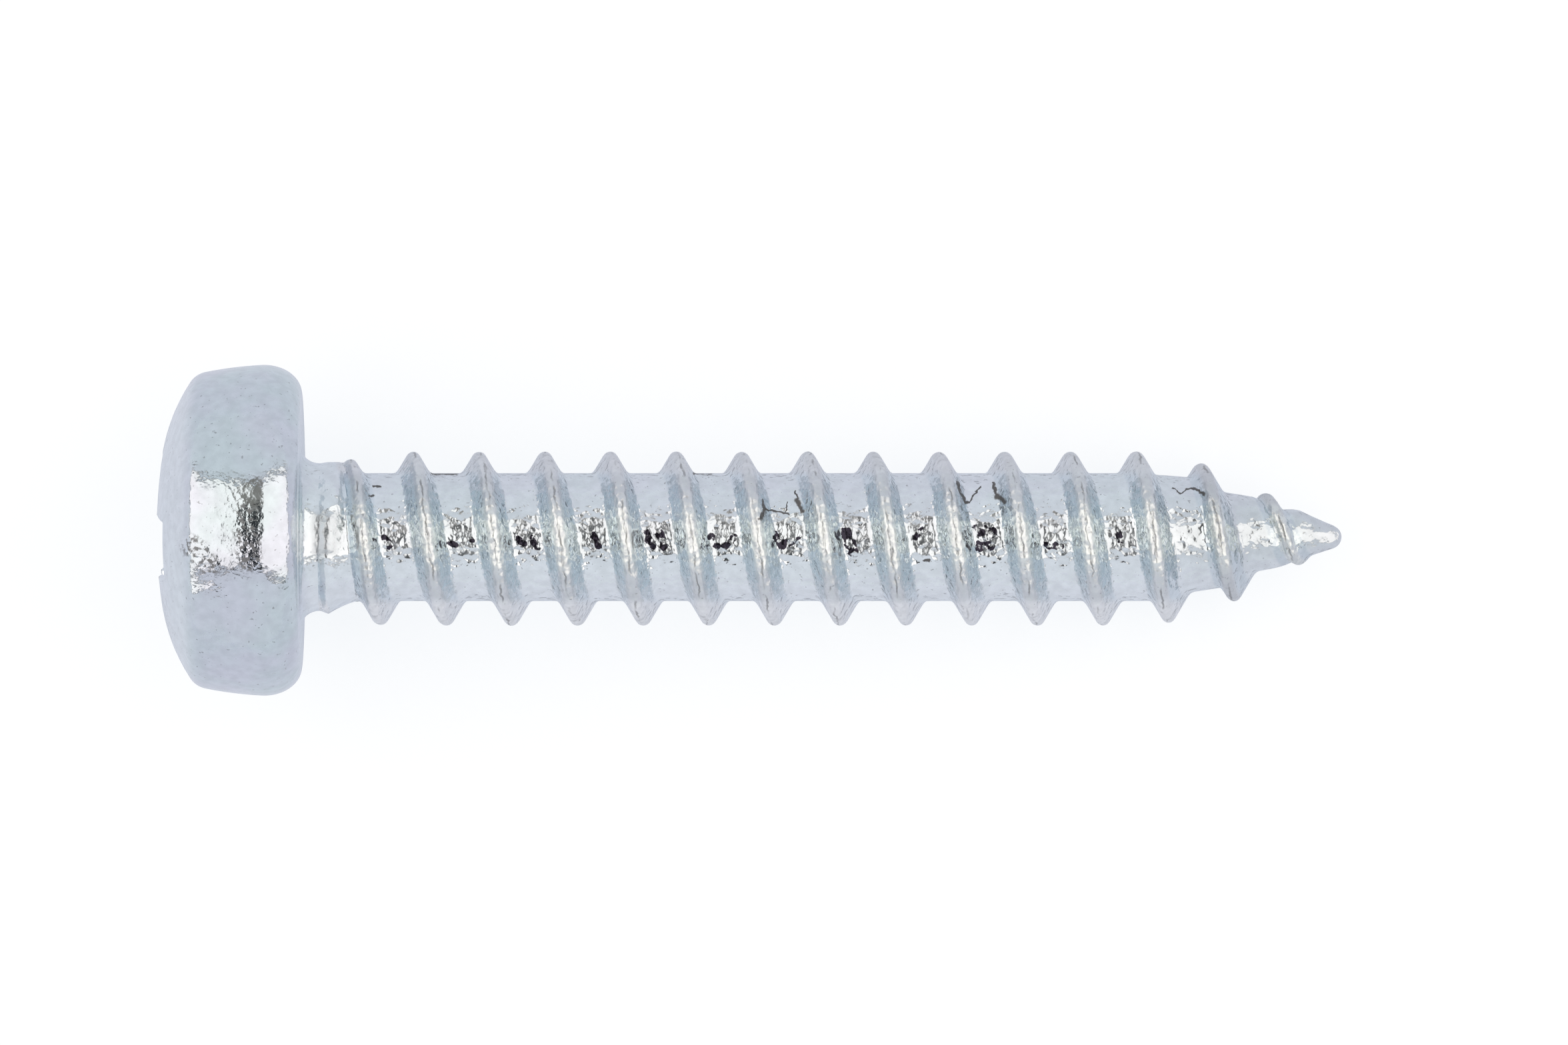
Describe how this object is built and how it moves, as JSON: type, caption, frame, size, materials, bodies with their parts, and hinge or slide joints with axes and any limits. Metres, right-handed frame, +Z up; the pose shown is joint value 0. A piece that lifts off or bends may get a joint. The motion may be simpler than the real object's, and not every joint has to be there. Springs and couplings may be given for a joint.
{
  "type": "sheet metal screw",
  "caption": "Pan head sheet metal screw with a cross recess, a coarse right-hand thread up to the head and a sharp gimlet point, lying on its side.",
  "frame": {"origin": "bottom centre of the bounding box of the lying screw, on the surface that it lies on", "axes": "+X runs along the screw from its head towards its tip, which leans down by 5.26 degrees; +Z is up; +Y is across the screw"},
  "size_m": [0.019, 0.0054, 0.0053],
  "materials": {
    "zinc_plated_steel": "bright zinc plating with a faint blue tint, slightly uneven"
  },
  "bodies": {
    "root": {"screw": "zinc_plated_steel"}
  },
  "joints": []
}
